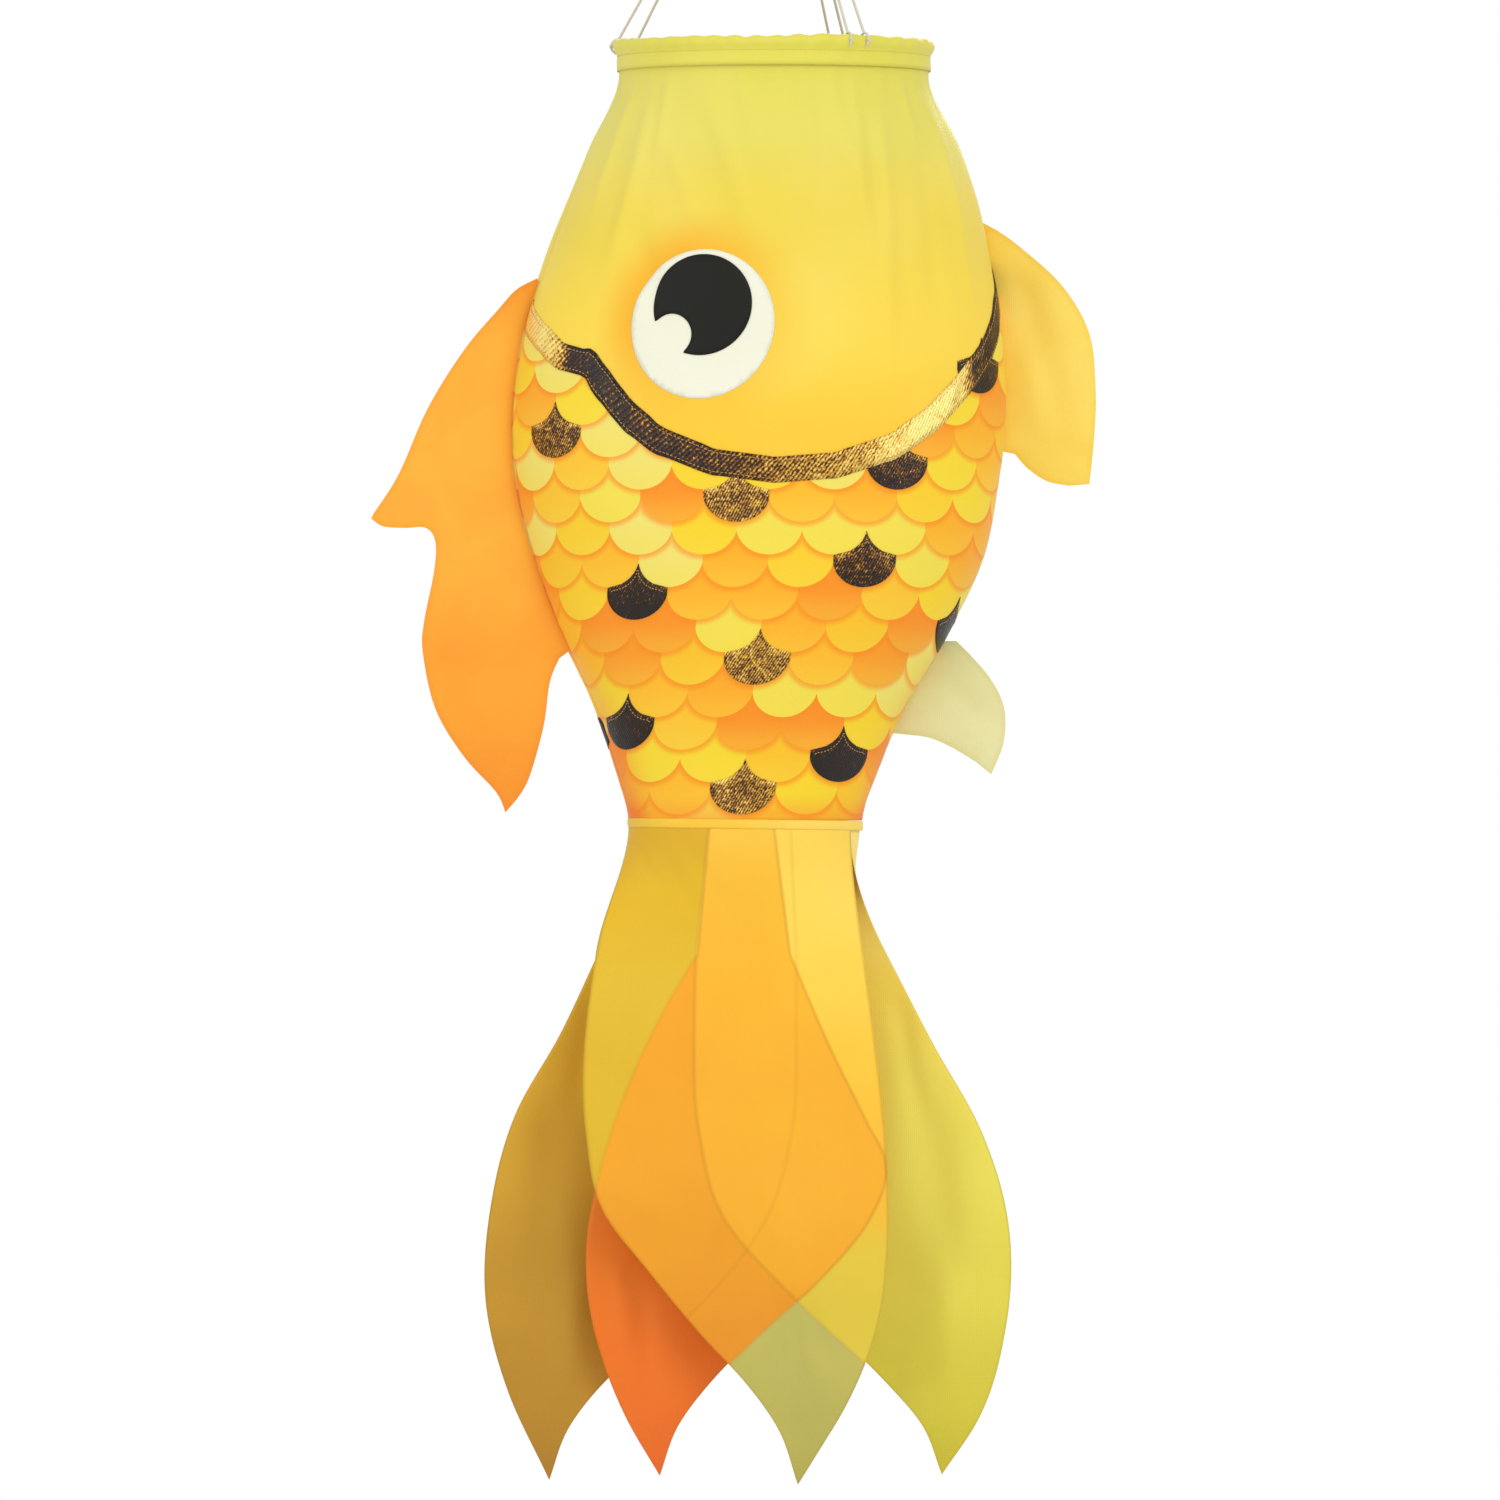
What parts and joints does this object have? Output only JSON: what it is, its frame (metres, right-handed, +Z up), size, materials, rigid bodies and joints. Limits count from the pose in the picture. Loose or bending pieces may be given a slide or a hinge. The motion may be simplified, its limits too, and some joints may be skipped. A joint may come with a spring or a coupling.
{
  "type": "carp streamer",
  "caption": "Fish-shaped cloth windsock with a hooped mouth on a corded bridle and swivel, foil scales, side fins and a tail of long overlapping petals.",
  "frame": {"origin": "centre of the hole in the swivel's top eye, which the streamer hangs from", "axes": "+Z up along the hanging line; -Y towards the fish's near side; -X towards its back fin, +X towards its belly"},
  "size_m": [0.4551, 0.208, 1.1282],
  "materials": {
    "swivel_steel": "nickel-plated steel, satin",
    "ball_steel": "polished steel",
    "bridle_cord": "braided polyester cord",
    "hoop_rod": "drawn glass-fibre rod",
    "ferrule": "drawn brass tube",
    "head_cloth": "printed polyester satin",
    "printed_cloth": "printed polyester satin",
    "gold_foil": "foil-coated twill",
    "eye_white": "printed polyester satin",
    "pupil_black": "printed polyester satin",
    "band_tape": "woven polyester tape",
    "orange_cloth": "dyed polyester",
    "yellow_cloth": "dyed polyester",
    "cream_cloth": "dyed polyester",
    "sage_cloth": "sheer dyed polyester",
    "deep_orange_cloth": "sheer dyed polyester",
    "lime_cloth": "sheer dyed polyester",
    "olive_cloth": "sheer dyed polyester"
  },
  "bodies": {
    "hanger": {"swivel_top_eye": "swivel_steel"},
    "swivel": {"swivel_barrel": "swivel_steel", "swivel_balls": "ball_steel", "swivel_bottom_eye": "swivel_steel"},
    "link": {"link_ring": "swivel_steel"},
    "sock": {"bridle_loop": "bridle_cord", "bridle_knot": "bridle_cord", "bridle_strand_1": "bridle_cord", "bridle_strand_2": "bridle_cord", "bridle_strand_3": "bridle_cord", "bridle_strand_4": "bridle_cord", "bridle_strand_5": "bridle_cord", "bridle_strand_6": "bridle_cord", "hoop_hitches": "bridle_cord", "mouth_hoop": "hoop_rod", "hoop_ferrule": "ferrule", "mouth_hem": "head_cloth", "side_panel_near": "printed_cloth", "side_panel_far": "printed_cloth", "gill_band_near": "gold_foil", "gill_band_far": "gold_foil", "eye_near": "eye_white", "eye_far": "eye_white", "pupil_near": "pupil_black", "pupil_far": "pupil_black", "foil_scales_near": "gold_foil", "foil_scales_far": "gold_foil", "tail_band": "band_tape", "dorsal_fin_root": "orange_cloth", "breast_fin_root": "yellow_cloth", "anal_fin_root": "cream_cloth", "front_petal_root": "sage_cloth", "inner_petal_root": "deep_orange_cloth", "right_petal_root": "lime_cloth", "left_petal_root": "olive_cloth"},
    "dorsal_blade": {"dorsal_fin": "orange_cloth"},
    "breast_blade": {"breast_fin": "yellow_cloth"},
    "anal_blade": {"anal_fin": "cream_cloth"},
    "front_flap": {"front_petal": "sage_cloth"},
    "left_flap": {"left_petal": "olive_cloth"},
    "right_flap": {"right_petal": "lime_cloth"},
    "inner_flap": {"inner_petal": "deep_orange_cloth"}
  },
  "joints": [
    {"name": "swivel_spin", "type": "hinge", "parent": "hanger", "child": "swivel", "pos_m": [0, 0, -0.0135], "axis": [0, 0, 1], "continuous": true},
    {"name": "link_swing", "type": "hinge", "parent": "swivel", "child": "link", "pos_m": [0, 0, -0.0238], "axis": [0, 1, 0], "range_deg": [-75, 75]},
    {"name": "bridle_swing", "type": "hinge", "parent": "link", "child": "sock", "pos_m": [0, 0, -0.028], "axis": [1, 0, 0], "range_deg": [-60, 60]},
    {"name": "dorsal_flap", "type": "hinge", "parent": "sock", "child": "dorsal_blade", "pos_m": [-0.168, -0.0125, -0.464], "axis": [0.1191, 0, -0.9929], "range_deg": [-60, 60], "stiffness_Nm_per_rad": 0.01},
    {"name": "breast_flap", "type": "hinge", "parent": "sock", "child": "breast_blade", "pos_m": [0.147, 0.0125, -0.434], "axis": [0.0599, 0, -0.9982], "range_deg": [-60, 60], "stiffness_Nm_per_rad": 0.01},
    {"name": "anal_flap", "type": "hinge", "parent": "sock", "child": "anal_blade", "pos_m": [0.114, 0.009, -0.59], "axis": [-0.5145, 0, -0.8575], "range_deg": [-60, 60], "stiffness_Nm_per_rad": 0.01},
    {"name": "front_petal_swing", "type": "hinge", "parent": "sock", "child": "front_flap", "pos_m": [-0.028, -0.0305, -0.789], "axis": [-1, 0, 0], "range_deg": [0, 45]},
    {"name": "rear_petal_swing", "type": "hinge", "parent": "sock", "child": "left_flap", "pos_m": [-0.048, 0.0265, -0.789], "axis": [1, 0, 0], "range_deg": [0, 45]},
    {"name": "right_petal_swing", "type": "hinge", "parent": "sock", "child": "right_flap", "pos_m": [0.011, 0.0145, -0.789], "axis": [1, 0, 0], "range_deg": [0, 36]},
    {"name": "inner_petal_swing", "type": "hinge", "parent": "sock", "child": "inner_flap", "pos_m": [-0.019, 0.0025, -0.789], "axis": [1, 0, 0], "range_deg": [0, 27]}
  ],
  "couplings": [
    {"joint": "right_petal_swing", "follows": "rear_petal_swing", "ratio": 0.75},
    {"joint": "inner_petal_swing", "follows": "rear_petal_swing", "ratio": 0.5}
  ]
}
